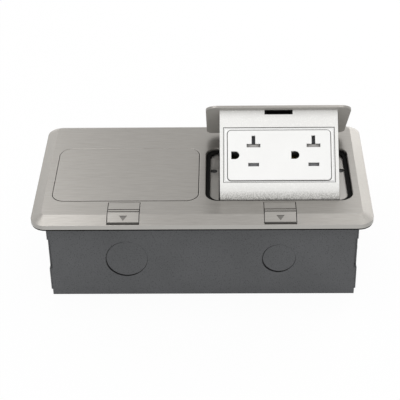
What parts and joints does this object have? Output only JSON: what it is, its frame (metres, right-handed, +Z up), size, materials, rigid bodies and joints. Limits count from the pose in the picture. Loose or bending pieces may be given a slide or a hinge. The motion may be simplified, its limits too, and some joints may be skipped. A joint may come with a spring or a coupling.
{
  "type": "floor socket box",
  "caption": "Recessed two-gang floor box with a bevelled cover plate; each hinged lid carries a pop-up duplex receptacle released by a sliding latch button.",
  "frame": {"origin": "middle of the finished floor plane: the underside of the floor gasket, centred on the cover plate", "axes": "+X to the right along the long side of the cover plate, +Y to the back where the hinges are, +Z up out of the floor"},
  "size_m": [0.22, 0.1214, 0.1185],
  "materials": {
    "brushed_nickel_cover": "fine brushing along X",
    "brushed_nickel_lid": "fine brushing along X",
    "brushed_nickel_button": "fine brushing along X",
    "black_gasket": "matt black closed-cell rubber",
    "grey_box_steel": "dark grey powder coat on folded sheet steel",
    "ledge_steel": "plain grey zinc-plated sheet",
    "dark_screw": "black oxide",
    "zinc_screw": "bright zinc",
    "green_screw": "green-passivated bonding screw",
    "pin_steel": "plain steel",
    "spring_steel": "bright spring wire",
    "textured_silver": "sparkling silver-white texture coat on a casting",
    "black_plastic": "black moulding",
    "white_trim": "satin white moulding",
    "white_face": "gloss white moulding",
    "dark_moulding": "dark grey moulding",
    "yoke_steel": "zinc-plated strap",
    "nickel_contact": "nickel-plated brass",
    "brass_contact": "plain brass",
    "brass_screw": "brass",
    "grey_shutter": "mid-grey moulding"
  },
  "bodies": {
    "floor_box": {"cover_frame": "brushed_nickel_cover", "floor_gasket": "black_gasket", "back_box": "grey_box_steel", "left_end_plate": "grey_box_steel", "right_end_plate": "grey_box_steel", "box_divider": "grey_box_steel", "box_mounting_screws": "dark_screw", "bracket_screws": "zinc_screw", "retainer_screws": "zinc_screw", "ground_screw": "green_screw", "left_outer_bracket": "ledge_steel", "left_inner_bracket": "ledge_steel", "left_lid_gasket": "black_gasket", "left_hinge_pins": "pin_steel", "left_latch_retainer": "pin_steel", "left_latch_spring": "spring_steel", "left_popup_spring": "spring_steel", "right_outer_bracket": "ledge_steel", "right_inner_bracket": "ledge_steel", "right_lid_gasket": "black_gasket", "right_hinge_pins": "pin_steel", "right_latch_retainer": "pin_steel", "right_latch_spring": "spring_steel", "right_popup_spring": "spring_steel"},
    "left_popup": {"left_lid": "brushed_nickel_lid", "left_lid_screws": "zinc_screw", "left_popup_frame": "textured_silver", "left_latch_keeper": "black_plastic", "left_receptacle_surround": "white_trim", "left_receptacle_face": "white_face", "left_receptacle_body": "dark_moulding", "left_receptacle_yoke": "yoke_steel", "left_yoke_screws": "zinc_screw", "left_neutral_contact": "nickel_contact", "left_hot_contact": "brass_contact", "left_ground_contact": "brass_contact", "left_terminal_screws": "brass_screw", "left_shutter_spring_1": "spring_steel", "left_shutter_spring_2": "spring_steel"},
    "left_latch": {"left_latch_button": "brushed_nickel_button"},
    "left_shutter_a": {"left_shutter_1": "grey_shutter"},
    "left_shutter_b": {"left_shutter_2": "grey_shutter"},
    "right_popup": {"right_lid": "brushed_nickel_lid", "right_lid_screws": "zinc_screw", "right_popup_frame": "textured_silver", "right_latch_keeper": "black_plastic", "right_receptacle_surround": "white_trim", "right_receptacle_face": "white_face", "right_receptacle_body": "dark_moulding", "right_receptacle_yoke": "yoke_steel", "right_yoke_screws": "zinc_screw", "right_neutral_contact": "nickel_contact", "right_hot_contact": "brass_contact", "right_ground_contact": "brass_contact", "right_terminal_screws": "brass_screw", "right_shutter_spring_1": "spring_steel", "right_shutter_spring_2": "spring_steel"},
    "right_latch": {"right_latch_button": "brushed_nickel_button"},
    "right_shutter_a": {"right_shutter_1": "grey_shutter"},
    "right_shutter_b": {"right_shutter_2": "grey_shutter"}
  },
  "joints": [
    {"name": "left_popup_hinge", "type": "hinge", "parent": "floor_box", "child": "left_popup", "pos_m": [-0.0502, 0.0377, -0.011], "axis": [-1, 0, 0], "range_deg": [0, 46.5], "deforming": ["left_popup_spring"]},
    {"name": "left_latch_slide", "type": "slide", "parent": "floor_box", "child": "left_latch", "axis": [0, -1, 0], "range_m": [0, 0.0014], "stiffness_N_per_m": 300, "springref_m": -0.003, "deforming": ["left_latch_spring"]},
    {"name": "left_shutter_slide_a", "type": "slide", "parent": "left_popup", "child": "left_shutter_a", "axis": [0, 0, -1], "range_m": [0, 0.0024], "stiffness_N_per_m": 60, "springref_m": -0.002, "deforming": ["left_shutter_spring_1"]},
    {"name": "left_shutter_slide_b", "type": "slide", "parent": "left_popup", "child": "left_shutter_b", "axis": [0, 0, -1], "range_m": [0, 0.0024], "stiffness_N_per_m": 60, "springref_m": -0.002, "deforming": ["left_shutter_spring_2"]},
    {"name": "right_popup_hinge", "type": "hinge", "parent": "floor_box", "child": "right_popup", "pos_m": [0.0502, 0.0377, -0.011], "axis": [-1, 0, 0], "range_deg": [-46.5, 0], "stiffness_Nm_per_rad": 0.3, "springref_deg": 68.75, "deforming": ["right_popup_spring"]},
    {"name": "right_latch_slide", "type": "slide", "parent": "floor_box", "child": "right_latch", "axis": [0, -1, 0], "range_m": [0, 0.0014], "stiffness_N_per_m": 300, "springref_m": -0.003, "deforming": ["right_latch_spring"]},
    {"name": "right_shutter_slide_a", "type": "slide", "parent": "right_popup", "child": "right_shutter_a", "axis": [0, -0.7254, -0.6884], "range_m": [0, 0.0024], "stiffness_N_per_m": 60, "springref_m": -0.002, "deforming": ["right_shutter_spring_1"]},
    {"name": "right_shutter_slide_b", "type": "slide", "parent": "right_popup", "child": "right_shutter_b", "axis": [0, -0.7254, -0.6884], "range_m": [0, 0.0024], "stiffness_N_per_m": 60, "springref_m": -0.002, "deforming": ["right_shutter_spring_2"]}
  ]
}
